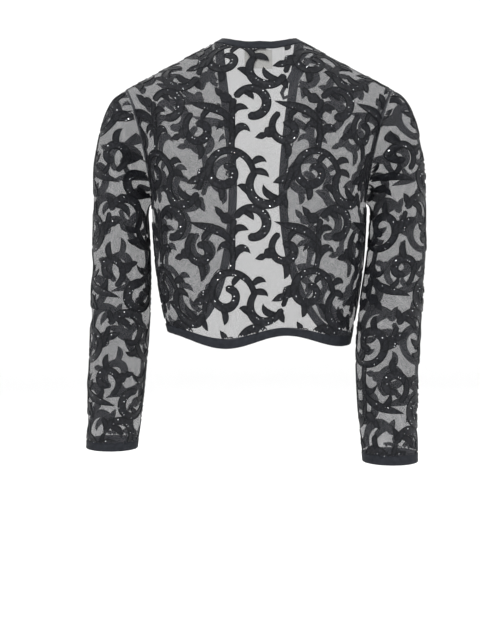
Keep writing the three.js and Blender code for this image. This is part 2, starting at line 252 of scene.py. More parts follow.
def smooth_through(rows, share):
    """A smooth curve through evenly spaced rows of values."""
    rows = np.asarray(rows, float)
    rows = np.vstack([2 * rows[0] - rows[1], rows, 2 * rows[-1] - rows[-2]])
    at = np.clip(share, 0, 1) * (len(rows) - 3)
    i = np.minimum(at.astype(int), len(rows) - 4)
    f = (at - i)[..., None]
    a, b, c, d = rows[i], rows[i + 1], rows[i + 2], rows[i + 3]
    square = 2 * a - 5 * b + 4 * c - d
    cube = 3 * b - a - 3 * c + d
    return 0.5 * (2 * b + (c - a) * f + square * f ** 2 + cube * f ** 3)


print("rings in a sleeve:", len(RINGS["left"]))

# %% [markdown]
# Above the last ring, a cap bends over to the armhole, which runs up the torso from the underarm to the
# tip of the shoulder. The cap ends just inside the armhole, so that no light shows between the two.

# %% Sleeve caps
ARMHOLE = {"tip": 0.86, "turn": 0.5}
CAP = {"fall": 0.36, "rise": 0.5, "reach": 0.75, "inset": 0.5}
OVER_CUFF = 0.05


def armhole(way, angle):
    up = (1 + np.cos(angle)) / 2
    across = way * mix(1, ARMHOLE["tip"], up ** ARMHOLE["turn"])
    behind = (way * np.sin(angle) > 0)[..., None]
    return np.where(behind, torso("back", across, 1 + up), torso("front", across, 1 + up))


def curve_at(f, a, b, c, d):
    """Points on a curve from a to d, which sets out towards b and comes in from c."""
    return (1 - f) ** 3 * a + 3 * (1 - f) ** 2 * f * b + 3 * (1 - f) * f ** 2 * c + f ** 3 * d


def sleeve_places(name, u, v):
    way = 1 if name == "left" else -1
    angle = 2 * math.pi * u / SLEEVE_GIRTH

    def ring(share):
        share, turn = np.broadcast_arrays(share, angle)
        z, x, y, half_width, half_depth = np.moveaxis(smooth_through(RINGS[name], share), -1, 0)
        return np.stack([x + way * np.cos(turn) * half_width, y + way * np.sin(turn) * half_depth, z], -1)

    start = ring(np.zeros((1, 1)))
    after = ring(np.full((1, 1), OVER_CUFF))
    top = ring(np.ones((1, 1)))
    seam = armhole(way, angle)
    middle = (armhole(way, np.zeros((1, 1))) + armhole(way, np.full((1, 1), math.pi))) / 2
    away = middle - seam
    seam = seam + away * CAP["inset"] / np.linalg.norm(away, axis=-1, keepdims=True)
    reach = CAP["reach"] * np.hypot(top[..., 0] - seam[..., 0], top[..., 1] - seam[..., 1])
    rise = CAP["rise"] * (seam[..., 2] - top[..., 2])
    zero = np.zeros_like(reach)
    first = top + np.stack([zero, zero, rise], -1)
    second = seam + np.stack([way * reach, zero, -CAP["fall"] * reach], -1)
    cap = curve_at(np.clip(v - 1, 0, 1)[..., None], top, first, second, seam)
    under = start + (start - after) * (-v / OVER_CUFF)[..., None]
    return np.where((v > 1)[..., None], cap, np.where((v < 0)[..., None], under, ring(v)))


sleeves = {
    name: Surface(SLEEVE_GIRTH / 2, lambda u, v, name=name: sleeve_places(name, u, v)) for name in RINGS
}
for name, shape in sleeves.items():
    outer, underarm = (round(float(shape.top(u)), 1) for u in (0, SLEEVE_GIRTH / 2 - 1))
    print(name, "sleeve: outer length", outer, "mm, underarm", underarm)

# %% [markdown]
# ## The flat pieces
#
# A maker cuts five pieces: a back, two fronts and two sleeves. Each is drawn from four seam lines. The side
# seam runs up from the hem and on round the armhole, and the shoulder seam joins its end to the neck.

# %% Seam lines
NECK_HALF_WIDTH = 57
NECK_U = HALF_GIRTH * NECK_HALF_WIDTH / SHOULDER["half_width"]
TIP_U = HALF_GIRTH * ARMHOLE["tip"]
ARMHOLE_STEPS, SIDE_STEPS, SHOULDER_STEPS = 36, 24, 24


def straight(a, b, steps):
    return np.array([mix(np.asarray(a, float), np.asarray(b, float), i / steps) for i in range(steps + 1)])


def bezier(a, b, c, d, steps):
    ends_and_pulls = (np.asarray(p, float) for p in (a, b, c, d))
    return curve_at(np.linspace(0, 1, steps + 1)[:, None], *ends_and_pulls)


def joined(*lines):
    return np.vstack([lines[0], *(line[1:] for line in lines[1:])])


def mirrored(line):
    return line * [-1, 1]


def side_line(shape):
    stops = []
    for angle in np.linspace(math.pi, 0, ARMHOLE_STEPS + 1):
        up = (1 + math.cos(angle)) / 2
        u = HALF_GIRTH * mix(1, ARMHOLE["tip"], up ** ARMHOLE["turn"])
        stops.append((u, shape.top(u, 1 + up)))
    return joined(straight((HALF_GIRTH, 0), stops[0], SIDE_STEPS), np.array(stops))


def shoulder_line(shape):
    return np.array([(u, shape.top(u)) for u in np.linspace(NECK_U, TIP_U, SHOULDER_STEPS + 1)])


print("neck and shoulder tip at u", round(NECK_U, 1), "and", round(TIP_U, 1), "mm")

# %% [markdown]
# The back neck is a shallow scoop. Each front edge curves in from the hem, runs up over the bust, and ends
# at the same point of the neck, so the fronts hang open.

# %% Neck and front edges
NECK = {"roll": 0.68, "curve": 1.2, "steps": 40}
FRONT_EDGE = {
    "bust_u": 40, "bust_t": 190, "hem_u": 135, "hem_pull": 74, "under_bust": 85, "over_bust": 70,
    "under_neck": 80, "steps": (32, 28),
}

neck_top = float(back.top(NECK_U))
neck_low = float(back.top(0, 1 + NECK["roll"]))
neck_line = np.array([
    (NECK_U * math.sin(a), neck_top - (neck_top - neck_low) * max(math.cos(a), 0) ** NECK["curve"])
    for a in np.linspace(-math.pi / 2, math.pi / 2, NECK["steps"] + 1)
])
front_top = float(front.top(NECK_U))
bust_u, bust_t, hem_u = FRONT_EDGE["bust_u"], FRONT_EDGE["bust_t"], FRONT_EDGE["hem_u"]
front_edge = joined(
    bezier(
        (hem_u, 0), (hem_u - FRONT_EDGE["hem_pull"], 0),
        (bust_u, bust_t - FRONT_EDGE["under_bust"]), (bust_u, bust_t), FRONT_EDGE["steps"][0]),
    bezier(
        (bust_u, bust_t), (bust_u, bust_t + FRONT_EDGE["over_bust"]),
        (NECK_U, front_top - FRONT_EDGE["under_neck"]), (NECK_U, front_top), FRONT_EDGE["steps"][1]),
)
print("neck scoop:", round(neck_top - neck_low, 1), "mm deep")

# %% [markdown]
# `cut_piece` fills four sides with an even grid of points. A triangulated outline would work too, but a
# grid bends more evenly. The right front is the left one mirrored.

# %% Cut pieces
CUFF_STEPS, UNDERARM_STEPS = 72, 70


def cut_piece(low, right, top, left):
    """A grid of flat points between four sides: rows from the bottom, each running to the right."""
    c = np.linspace(0, 1, len(low))[None, :, None]
    r = np.linspace(0, 1, len(left))[:, None, None]
    corners = mix(mix(low[0], low[-1], c), mix(top[0], top[-1], c), r)
    return mix(low[None], top[None], r) + mix(left[:, None], right[:, None], c) - corners


def sleeve_sides(shape):
    half = SLEEVE_GIRTH / 2
    cuff = straight((-half, 0), (half, 0), CUFF_STEPS)
    cap = np.array([(u, shape.top(u)) for u in cuff[:, 0]])
    right = straight((half, 0), cap[-1], UNDERARM_STEPS)
    return cuff, right, cap, straight((-half, 0), cap[0], UNDERARM_STEPS)


back_side = side_line(back)
back_shoulder = shoulder_line(back)
back_top = joined(mirrored(back_shoulder)[::-1], neck_line, back_shoulder)
back_hem = straight((-HALF_GIRTH, 0), (HALF_GIRTH, 0), len(back_top) - 1)
front_hem = straight((hem_u, 0), (HALF_GIRTH, 0), SHOULDER_STEPS)
CUTS = {
    "back": (back, (back_hem, back_side, back_top, mirrored(back_side))),
    "front_left": (front, (front_hem, side_line(front), shoulder_line(front), front_edge)),
    "sleeve_left": (sleeves["left"], sleeve_sides(sleeves["left"])),
    "sleeve_right": (sleeves["right"], sleeve_sides(sleeves["right"])),
}
low, right, top, left = CUTS["front_left"][1]
CUTS["front_right"] = (front, (mirrored(low)[::-1], mirrored(left), mirrored(top)[::-1], mirrored(right)))
OUTLINES = {
    name: np.vstack([low, right[1:], top[::-1][1:], left[::-1][1:-1]])
    for name, (shape, (low, right, top, left)) in CUTS.items()
}
print("pieces cut:", ", ".join(CUTS))

# %% [markdown]
# ## Creases
#
# Worn net drags softly from the underarm and folds a little at the elbow. Each crease is a line on the flat
# piece, with a width and a depth. The net, its embroidery and its seams follow them, which a simulation of
# the net alone would not give.

# %% Creases
CREASES = {  # u0, t0, u1, t1, width, depth
    "back": [
        (-165, 150, -70, 235, 13, -1.6), (165, 150, 75, 240, 13, -1.6), (-150, 120, -60, 150, 16, -1.3),
        (150, 118, 62, 140, 16, -1.3), (-40, 10, -30, 130, 15, 1.2), (55, 5, 60, 120, 16, 1.2),
        (-120, 60, -20, 95, 14, 0.9), (30, 190, 120, 215, 12, 0.9)],
    "front_left": [
        (170, 150, 90, 215, 13, -1.5), (160, 110, 80, 130, 15, -1.2), (120, 20, 110, 110, 14, 1.0)],
    "sleeve_left": [
        (-70, 270, 40, 235, 9, -1.7), (-50, 215, 60, 250, 9, -1.4), (-60, 160, 50, 185, 10, -1.2),
        (30, 90, -60, 60, 10, 1.2), (-20, 400, 50, 330, 12, 1.2)],
    "sleeve_right": [
        (70, 262, -40, 228, 9, -1.7), (50, 205, -60, 240, 9, -1.4), (60, 150, -50, 178, 10, -1.2),
        (-30, 80, 60, 55, 10, 1.2), (20, 395, -50, 330, 12, 1.2)],
}
CREASES["front_right"] = [(-a, b, -c, d, w, e) for a, b, c, d, w, e in CREASES["front_left"]]
CREASE_END = 1.6


def crease(name, flat):
    height = np.zeros(len(flat))
    for u0, t0, u1, t1, width, depth in CREASES[name]:
        along = np.array([u1 - u0, t1 - t0], float)
        length = np.linalg.norm(along)
        along /= length
        off = flat - [u0, t0]
        down = off @ along
        aside = off @ [-along[1], along[0]]
        past = np.maximum(np.maximum(-down, down - length), 0)
        height += depth * np.exp(-(aside / width) ** 2 - (past / (CREASE_END * width)) ** 2)
    return height


print("creases:", sum(len(lines) for lines in CREASES.values()))

# %% [markdown]
# ## Shared effects
#
# Two effects serve several finishes, so each is a node group of its own, in millimetres on the flat piece.
# First come the helpers that join nodes.

# %% Node helpers
def link(tree, a, b):
    tree.links.new(a, b)


def math_node(tree, operation, a, b):
    node = tree.nodes.new("ShaderNodeMath")
    node.operation = operation
    for socket, value in zip(node.inputs, (a, b)):
        if isinstance(value, (int, float)):
            socket.default_value = value
        else:
            link(tree, value, socket)
    return node.outputs[0]


def new_group(name, sizes, outputs):
    """A group that takes a flat place and some sizes, and gives out some values."""
    tree = bpy.data.node_groups.new(name, "ShaderNodeTree")
    tree.interface.new_socket(name="Flat", in_out="INPUT", socket_type="NodeSocketVector")
    for label, value in sizes.items():
        socket = tree.interface.new_socket(name=label, in_out="INPUT", socket_type="NodeSocketFloat")
        socket.default_value = value
    for label in outputs:
        tree.interface.new_socket(name=label, in_out="OUTPUT", socket_type="NodeSocketFloat")
    given, result = tree.nodes.new("NodeGroupInput"), tree.nodes.new("NodeGroupOutput")
    place = tree.nodes.new("ShaderNodeSeparateXYZ")
    link(tree, given.outputs["Flat"], place.inputs[0])
    return tree, given.outputs, place.outputs, result.inputs


print("node groups so far:", len(bpy.data.node_groups))

# %% [markdown]
# The open net is two sets of slanting threads that cross. Between them only a thin film shows, which
# stands for threads too fine to see. Real holes would take millions of faces.

# %% Open net
NET = {"Cell mm": 1.7, "Thread": 0.075, "Film": 0.34}
THREAD_EDGE = 0.02
THREAD_OPACITY = 0.72

net_group, given, place, result = new_group("open net", NET, ["Alpha", "Bump Height"])
threads = []
for operation in ("ADD", "SUBTRACT"):
    across = math_node(net_group, operation, place[0], place[1])
    cells = math_node(net_group, "DIVIDE", across, given["Cell mm"])
    from_line = math_node(net_group, "PINGPONG", cells, 0.5)
    share = math_node(net_group, "DIVIDE", from_line, given["Thread"])
    off = math_node(net_group, "MINIMUM", share, 1.0)
    threads.append(math_node(net_group, "SUBTRACT", 1.0, off))
thread = math_node(net_group, "MAXIMUM", threads[0], threads[1])
on_thread = math_node(net_group, "GREATER_THAN", thread, THREAD_EDGE)
solid = math_node(net_group, "MULTIPLY", on_thread, THREAD_OPACITY)
link(net_group, math_node(net_group, "ADD", solid, given["Film"]), result["Alpha"])
link(net_group, thread, result["Bump Height"])
print("net cells:", NET["Cell mm"], "mm")

# %% [markdown]
# Stitched rows lie side by side across u, and each stitch leans into the next row. Only their height is
# given out, because thread of one colour shows by its relief.

# %% Stitched rows
STITCHES = {"Stitch mm": 2.4, "Row mm": 1.5}
STITCH_LEAN = 2.0

stitch_group, given, place, result = new_group("stitched rows", STITCHES, ["Bump Height"])
rows_across = math_node(stitch_group, "DIVIDE", place[0], given["Row mm"])
row = math_node(stitch_group, "PINGPONG", rows_across, 0.5)
lean = math_node(stitch_group, "ADD", place[1], math_node(stitch_group, "MULTIPLY", row, STITCH_LEAN))
stitches_along = math_node(stitch_group, "DIVIDE", lean, given["Stitch mm"])
along = math_node(stitch_group, "PINGPONG", stitches_along, 0.5)
link(stitch_group, math_node(stitch_group, "ADD", row, along), result["Bump Height"])
print("stitches:", STITCHES["Stitch mm"], "mm")

# %% [markdown]
# ## Finishes
#
# Every cloth has a relief of threads or stitches and a colour that drifts a little from place to place,
# because dyed cloth is never quite even. These helpers give both.

# %% Material helpers
DRIFT_STOPS = (0.35, 0.7)


def new_material(name, colour, roughness):
    material = bpy.data.materials.new(name)
    material.use_nodes = True
    tree = material.node_tree
    shader = tree.nodes["Principled BSDF"]
    shader.inputs["Base Color"].default_value = (*colour, 1)
    shader.inputs["Roughness"].default_value = roughness
    return material, tree, shader


def flat_of(tree):
    return tree.nodes.new("ShaderNodeUVMap").outputs[0]


def add_group(tree, group, place, sizes):
    node = tree.nodes.new("ShaderNodeGroup")
    node.node_tree = group
    link(tree, place, node.inputs["Flat"])
    for label, value in sizes.items():
        node.inputs[label].default_value = value
    return node.outputs


def add_bump(tree, shader, height, strength, distance):
    bump = tree.nodes.new("ShaderNodeBump")
    bump.inputs["Strength"].default_value = strength
    bump.inputs["Distance"].default_value = distance
    link(tree, height, bump.inputs["Height"])
    link(tree, bump.outputs[0], shader.inputs["Normal"])


def varied_colour(tree, shader, place, scale, dark, light):
    noise = tree.nodes.new("ShaderNodeTexNoise")
    noise.inputs["Scale"].default_value = scale
    link(tree, place, noise.inputs["Vector"])
    ramp = tree.nodes.new("ShaderNodeValToRGB")
    for stop, at, colour in zip(ramp.color_ramp.elements, DRIFT_STOPS, (dark, light)):
        stop.position = at
        stop.color = (*colour, 1)
    link(tree, noise.outputs[0], ramp.inputs[0])
    link(tree, ramp.outputs[0], shader.inputs["Base Color"])
    return ramp.outputs[0]


print("colours drift between", DRIFT_STOPS)

# %% [markdown]
# The net is a soft black with a blue cast, dull and see-through. Its threads are opaque and its film is
# not, which keeps the weave in sight where an even grey would look like glass.

# %% Net
net_material, tree, shader = new_material("sheer net", (0.02, 0.021, 0.026), roughness=0.7)
flat = flat_of(tree)
net = add_group(tree, net_group, flat, NET)
link(tree, net["Alpha"], shader.inputs["Alpha"])
add_bump(tree, shader, net["Bump Height"], strength=0.3, distance=0.0002)
varied_colour(tree, shader, flat, 0.05, dark=(0.016, 0.017, 0.021), light=(0.03, 0.031, 0.037))
print("finish:", net_material.name)

# %% [markdown]
# The embroidery is filled with rows of stitches between two darker cords, and small bright glints are
# scattered over the fill. Glints could be meshes, but there are thousands, so a scatter of cells lights up
# a few round dots instead.

# %% Embroidery
CORD_COLOUR = (0.003, 0.0035, 0.005)
GLINT = {"scale": 0.42, "rarity": 0.86, "radius": 0.34, "colour": (0.85, 0.87, 0.9), "metal": 0.9}
SHEEN = {"roughness": 0.42, "glint_drop": 0.17, "specular": 0.17}


def mixed_colour(tree, share, colour, other):
    """A colour that becomes the other one where share is 1."""
    node = tree.nodes.new("ShaderNodeMix")
    node.data_type = "RGBA"
    link(tree, share, node.inputs[0])
    link(tree, colour, node.inputs[6])
    node.inputs[7].default_value = (*other, 1)
    return node.outputs[2]


stitch_material, tree, shader = new_material("corded embroidery", (0.012, 0.013, 0.018), roughness=0.4)
flat = flat_of(tree)
rows_of_stitches = add_group(tree, stitch_group, flat, STITCHES)
add_bump(tree, shader, rows_of_stitches["Bump Height"], strength=0.9, distance=0.0008)
cells = tree.nodes.new("ShaderNodeTexVoronoi")
cells.inputs["Scale"].default_value = GLINT["scale"]
link(tree, flat, cells.inputs["Vector"])
cell = tree.nodes.new("ShaderNodeSeparateXYZ")
link(tree, cells.outputs["Color"], cell.inputs[0])
chosen = math_node(tree, "GREATER_THAN", cell.outputs[0], GLINT["rarity"])
near = math_node(tree, "LESS_THAN", cells.outputs["Distance"], GLINT["radius"])
glint = math_node(tree, "MULTIPLY", chosen, near)
fill_colour = varied_colour(tree, shader, flat, 0.3, dark=CORD_COLOUR, light=(0.016, 0.017, 0.021))
on_cord = tree.nodes.new("ShaderNodeAttribute")
on_cord.attribute_name = "cord"
on_fill = math_node(tree, "LESS_THAN", on_cord.outputs["Fac"], 0.5)
glint = math_node(tree, "MULTIPLY", glint, on_fill)
colour = mixed_colour(tree, on_cord.outputs["Fac"], fill_colour, CORD_COLOUR)
colour = mixed_colour(tree, glint, colour, GLINT["colour"])
link(tree, colour, shader.inputs["Base Color"])
link(tree, math_node(tree, "MULTIPLY", glint, GLINT["metal"]), shader.inputs["Metallic"])
smoother = math_node(tree, "MULTIPLY", glint, SHEEN["glint_drop"])
roughness = math_node(tree, "SUBTRACT", SHEEN["roughness"], smoother)
link(tree, roughness, shader.inputs["Roughness"])
shader.inputs["Specular IOR Level"].default_value = SHEEN["specular"]
print("finish:", stitch_material.name)

# %% [markdown]
# Seams, bindings, label and ribbon are close cloths: they differ only in colour, in the size of their
# stitches and in how rough they are. The label and the ribbon have no flat piece here, so their threads
# follow their own places in millimetres.

# %% Close cloths
def own_millimetres(tree):
    scaled = tree.nodes.new("ShaderNodeVectorMath")
    scaled.operation = "SCALE"
    scaled.inputs["Scale"].default_value = 1000
    link(tree, tree.nodes.new("ShaderNodeTexCoord").outputs["Object"], scaled.inputs[0])
    return scaled.outputs[0]


def close_cloth(name, colour, roughness, place_of, stitch, row, relief, drift):
    material, tree, shader = new_material(name, colour, roughness)
    place = place_of(tree)
    stitches = add_group(tree, stitch_group, place, {"Stitch mm": stitch, "Row mm": row})
    add_bump(tree, shader, stitches["Bump Height"], *relief)
    varied_colour(tree, shader, place, *drift)
    return material, shader


seam_material, shader = close_cloth(
    "sewn seam", (0.014, 0.015, 0.02), 0.65, flat_of, stitch=2.0, row=3.0,
    relief=(0.7, 0.0005), drift=(0.2, (0.011, 0.012, 0.016), (0.02, 0.021, 0.027)))
binding_material, shader = close_cloth(
    "folded binding", (0.016, 0.02, 0.03), 0.78, flat_of, stitch=0.9, row=0.9,
    relief=(0.5, 0.0003), drift=(0.12, (0.008, 0.0095, 0.013), (0.015, 0.017, 0.022)))
shader.inputs["Specular IOR Level"].default_value = 0.2
label_material, shader = close_cloth(
    "label cotton", (0.93, 0.92, 0.88), 0.85, own_millimetres, stitch=0.8, row=0.8,
    relief=(0.4, 0.0002), drift=(0.15, (0.90, 0.89, 0.85), (0.96, 0.95, 0.91)))
ribbon_material, shader = close_cloth(
    "ribbon", (0.012, 0.012, 0.016), 0.4, own_millimetres, stitch=1.0, row=1.0,
    relief=(0.4, 0.0002), drift=(0.2, (0.010, 0.010, 0.014), (0.018, 0.018, 0.024)))
print("finishes:", ", ".join(material.name for material in bpy.data.materials))

# %% [markdown]
# ## Meshes
#
# `add_mesh` takes places in millimetres, and the flat place of each corner as its texture place, so that
# threads and stitches keep their size wherever the cloth bends.

# %% Mesh helpers
MILLIMETRE = 0.001


def smooth(mesh):
    mesh.polygons.foreach_set("use_smooth", np.ones(len(mesh.polygons), dtype=bool))


def add_mesh(name, places, faces, material, flat, cord=None):
    mesh = bpy.data.meshes.new(name)
    points = (np.asarray(places) * MILLIMETRE).tolist()
    mesh.from_pydata(points, [], [list(map(int, face)) for face in faces])
    layer = mesh.uv_layers.new(name="flat")
    corners = np.empty(len(mesh.loops), dtype=np.int32)
    mesh.loops.foreach_get("vertex_index", corners)
    layer.data.foreach_set("uv", np.asarray(flat, np.float32)[corners].ravel())
    smooth(mesh)
    mesh.materials.append(material)
    if cord is not None:
        attribute = mesh.attributes.new("cord", "FLOAT", "POINT")
        attribute.data.foreach_set("value", np.asarray(cord, np.float32))
    mesh.validate()
    obj = add_object(name, mesh)
    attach(obj, "root")
    return obj


def grid_faces(rows, columns, closed=False):
    """Four-sided faces over a grid of points. A closed grid joins its last column to its first."""
    across = columns if closed else columns - 1
    j, i = np.meshgrid(np.arange(rows - 1), np.arange(across), indexing="ij")
    after = (i + 1) % columns
    here, above = j * columns, (j + 1) * columns
    return np.stack([here + i, here + after, above + after, above + i], -1).reshape(-1, 4)


def area_of(obj):
    return sum(face.area for face in obj.data.polygons)


print("one grid of 3 by 3 points has", len(grid_faces(3, 3)), "faces")

# %% [markdown]
# ## The net
#
# One sheet for each piece, carried just outside the middle of the wall that it stands for. It is a single
# skin, because net has no thickness that could be seen.

# %% Net pieces
NET_HEIGHT = 0.9

net_objects = {}
for name, (shape, sides) in CUTS.items():
    grid = cut_piece(*sides)
    rows, columns = grid.shape[:2]
    flat = grid.reshape(-1, 2)
    places = shape.carry(flat, NET_HEIGHT + crease(name, flat))
    net_objects[name] = add_mesh(name + "_net", places, grid_faces(rows, columns), net_material, flat)
    print(name, "net:", rows * columns, "points,", round(area_of(net_objects[name]) * 1e4), "square cm")

# %% [markdown]
# ## The scroll repeat
#
# Charted. A curl runs round a centre from one radius to the other; stems and leaves are curves between two
# ends. widths are those of the band at its start, middle and end, and a width of 0 is a point.
# Curves suit this better than a drawn picture: they stay sharp and can be mirrored and turned.

# %% The chart
REPEAT = (109, 150)
CURLS = [  # u, t, r0, r1, ease, from, sweep, widths
    (0, 0, 23, 5, 0.75, 112, 385, (8, 11.5, 9.5)),
    (66, 32, 22, 15, 1, 160, -272, (9, 12.5, 10)),
    (33, -53, 36, 5, 0.72, -4, 480, (8, 11.5, 9.5)),
    (86, -71, 24, 21, 1, 128, 215, (9, 12.5, 9)),
]
CURVES = [  # start, first pull, second pull, end, widths
    ((44, 40), (38, 20), (45, -6), (39, -27), (9, 7.5, 8)),
    ((42, 7), (30, 30), (8, 27), (-16, 36), (7, 12, 0)),
    ((107, -76), (110, -68), (111, -60), (117, -50), (7, 7.5, 7.5)),
    ((-4, -15), (4, -22), (3, -32), (-2, -38), (8, 9.5, 0)),
    ((24, -69), (31, -75), (29, -84), (26, -89), (8, 9.5, 0)),
    ((103, -82), (107, -88), (106, -93), (111, -98), (8, 9, 0)),
    ((42, 18), (46, 32), (54, 29), (62, 25), (7, 9.5, 0)),
    ((42, -8), (41, 11), (28, 12), (21, -2), (7, 9.5, 0)),
    ((41, -15), (46, 5), (56, 8), (64, -4), (7, 11, 0)),
    ((14, 25), (6, 22), (3, 17), (4, 9), (7, 8, 0)),
    ((55, 48), (62, 47), (66, 43), (68, 37), (7, 8, 0)),
    ((51, -31), (44, -34), (40, -38), (41, -44), (7, 8, 0)),
    ((67, -44), (70, -36), (77, -35), (84, -41), (7, 9.5, 0)),
    ((66, -53), (74, -51), (82, -52), (87, -60), (7, 9, 0)),
    ((99, -86), (88, -84), (80, -79), (80, -68), (8, 9.5, 0)),
    ((64, -82), (60, -74), (54, -69), (47, -70), (8, 9.5, 0)),
]
BUDS = [(42, 36, 140, 30, 15), (-15, 2, 207, 28, 15), (14, -46, 213, 38, 18)]  # u, t, angle, length, width
BUD_SHAPE = (  # share of the length, share of the width
    (0, 0.3), (0.12, 0.75), (0.3, 1), (0.45, 0.8), (0.55, 0.45), (0.75, 0.62), (0.88, 0.4), (1, 0))
print("one repeat:", len(CURLS), "curls,", len(CURVES), "stems and leaves,", len(BUDS), "buds")

# %% [markdown]
# Each line of the chart becomes a stroke: points an even step apart, a width at each of them, and a round
# or pointed end.

# %% Strokes
STEP = 2.4
BUD_STEP = STEP / 1.5
BUD_BEND = 14
CURL_POINTS = 120
CURVE_STEPS = 39
BROAD_AT = 0.45


def spaced(points, extras, step=STEP):
    """Points an even step apart along a line, with their extras."""
    length = lengths_along(points)
    at = np.linspace(0, length[-1], max(4, int(length[-1] / step)) + 1)
    even = np.stack([np.interp(at, length, points[:, k]) for k in (0, 1)], axis=1)
    return even, np.interp(at, length, extras), at


def rounded_ends(width, at, ends):
    """Narrows a band to a round end, where it has one."""
    for use, gone in zip(ends, (at, at[-1] - at)):
        if use:
            near = np.clip(gone / np.maximum(width / 2, 0.5), 0, 1)
            width = width * np.sqrt(1 - (1 - near) ** 2)
    return width


def band_width(share, widths):
    """Widens from the start to the middle, and then stays broad until near the end."""
    start, middle, end = widths
    widening = mix(start, middle, share / BROAD_AT)
    narrowing = mix(middle, end, ((share - BROAD_AT) / (1 - BROAD_AT)) ** 2)
    return np.where(share < BROAD_AT, widening, narrowing)


strokes = []
for u, t, r0, r1, ease, start, sweep, widths in CURLS:
    share = np.linspace(0, 1, CURL_POINTS)
    angle = np.radians(start + sweep * share)
    radius = mix(r0, r1, share ** ease)
    line = np.stack([u + radius * np.cos(angle), t + radius * np.sin(angle)], axis=1)
    line, width, at = spaced(line, band_width(share, widths))
    strokes.append((line, rounded_ends(width, at, (True, True)), at))
share = np.linspace(0, 1, CURVE_STEPS + 1)
for a, b, c, d, widths in CURVES:
    line, width, at = spaced(bezier(a, b, c, d, CURVE_STEPS), band_width(share, widths))
    strokes.append((line, rounded_ends(width, at, (True, widths[2] > 0)), at))
for u, t, angle, length, width in BUDS:
    turn = math.radians(angle)
    bend = math.radians(angle + BUD_BEND)
    end = (u + length * math.cos(turn), t + length * math.sin(turn))
    pull = (u + length * 0.5 * math.cos(bend), t + length * 0.5 * math.sin(bend))
    line, along, at = spaced(bezier((u, t), pull, pull, end, CURVE_STEPS), share, BUD_STEP)
    shares, halves = zip(*BUD_SHAPE)
    strokes.append((line, np.interp(along, shares, halves) * width, at))
print("strokes in one repeat:", len(strokes), "rows:", sum(len(s[0]) for s in strokes))

# %% [markdown]
# A stroke has a fine cord on each edge and a slightly domed fill of stitches between them. Nine points
# across are enough for that, and thousands of strokes then stay light.

# %% Stroke rows
CORD = {"width": 1.5, "height": 1.35, "most": 0.6, "shoulder": 0.25}
FILL = {"edge": 0.5, "top": 0.85}
FULL_HEIGHT_HALF = 1.6
ON_CORD = (1, 1, 1, 0, 0, 0, 1, 1, 1)  # for each point across a stroke


def left_of(along):
    """Unit vectors to the left of each direction on the flat."""
    along = along / np.maximum(np.linalg.norm(along, axis=1, keepdims=True), 1e-9)
    return np.stack([-along[:, 1], along[:, 0]], axis=1)


def stroke_rows(line, width):
    aside = left_of(np.gradient(line, axis=0))
    half = width / 2
    cord = np.minimum(CORD["width"], CORD["most"] * half)
    low = np.minimum(1, half / FULL_HEIGHT_HALF)
    crest = CORD["height"] * low
    shoulder = CORD["shoulder"]
    marks = [half, half - shoulder * cord, half - (1 - shoulder) * cord, half - cord, 0 * half]
    heights = [0 * low, crest, crest, FILL["edge"] * low, FILL["top"] * low]
    across = np.stack([-m for m in marks] + marks[-2::-1], axis=1)
    height = np.stack(heights + heights[-2::-1], axis=1)
    flat = line[:, None] + across[:, :, None] * aside[:, None]
    return flat, across, height


print("points across a stroke:", len(ON_CORD))

# %% [markdown]
# ## Laying the chart
#
# The repeat is laid side by side over each piece, as on the real net: mirrored on the fronts, and turned
# half round on the sleeves.

# %% Laying the chart on a piece
LAYOUTS = {  # u, t, way round, mirrored
    "back": (33, 256, 1, 1), "front_left": (33, 256, 1, -1), "front_right": (33, 256, 1, -1),
    "sleeve_left": (50, 240, -1, 1), "sleeve_right": (50, 240, -1, 1),
}
COLUMNS, ROWS = range(-6, 7), range(-5, 6)
MARGIN_ROUND = 4
LAYER, LAYERS = 0.05, 6


def strokes_near(name):
    """Each stroke of each repeat that comes near a piece, with its number in the chart."""
    u0, t0, way, flip = LAYOUTS[name]
    low = OUTLINES[name].min(axis=0) - MARGIN_ROUND
    high = OUTLINES[name].max(axis=0) + MARGIN_ROUND
    for column in COLUMNS:
        for row in ROWS:
            origin = np.array([u0 + column * REPEAT[0], t0 + row * REPEAT[1]])
            for number, (line, width, at) in enumerate(strokes):
                centre = (origin + way * line) * [flip, 1]
                if (centre.max(axis=0) >= low).all() and (centre.min(axis=0) <= high).all():
                    yield number, centre, width, at


def laid_chart(name):
    """Flat places, texture places, heights and faces of all the strokes on a piece."""
    mirror = LAYOUTS[name][3] < 0
    flats, marks, heights, faces, count = [], [], [], [], 0
    for number, centre, width, at in strokes_near(name):
        flat, across, height = stroke_rows(centre, width)
        rows, columns = across.shape
        face = grid_faces(rows, columns)
        along = np.repeat(at[:, None], columns, axis=1)
        flats.append(flat.reshape(-1, 2))
        marks.append(np.stack([across, along], -1).reshape(-1, 2))
        heights.append(height.ravel() + LAYER * (number % LAYERS))
        faces.append((face[:, ::-1] if mirror else face) + count)
        count += rows * columns
    return np.vstack(flats), np.vstack(marks), np.concatenate(heights), np.vstack(faces)


print("strokes near the back:", sum(1 for stroke in strokes_near("back")))

# %% [markdown]
# The strokes are trimmed along the seams, as scissors would do it: a face stays only where all its corners
# lie inside the piece. Cutting the faces themselves would give a cleaner edge, but the seams cover it.

# %% Embroidered pieces
EDGE_INSET = 0.6


def inside(points, outline):
    """Which points lie within a closed outline."""
    x, y = points[:, 0], points[:, 1]
    odd = np.zeros(len(points), dtype=bool)
    for (ax, ay), (bx, by) in zip(outline, np.roll(outline, -1, axis=0)):
        if ay == by:
            continue
        crosses = (ay > y) != (by > y)
        odd ^= crosses & (x < (bx - ax) * (y - ay) / (by - ay) + ax)
    return odd


def moved_in(outline, distance):
    before, after = np.roll(outline, 1, axis=0), np.roll(outline, -1, axis=0)
    return outline + distance * left_of(after - before)


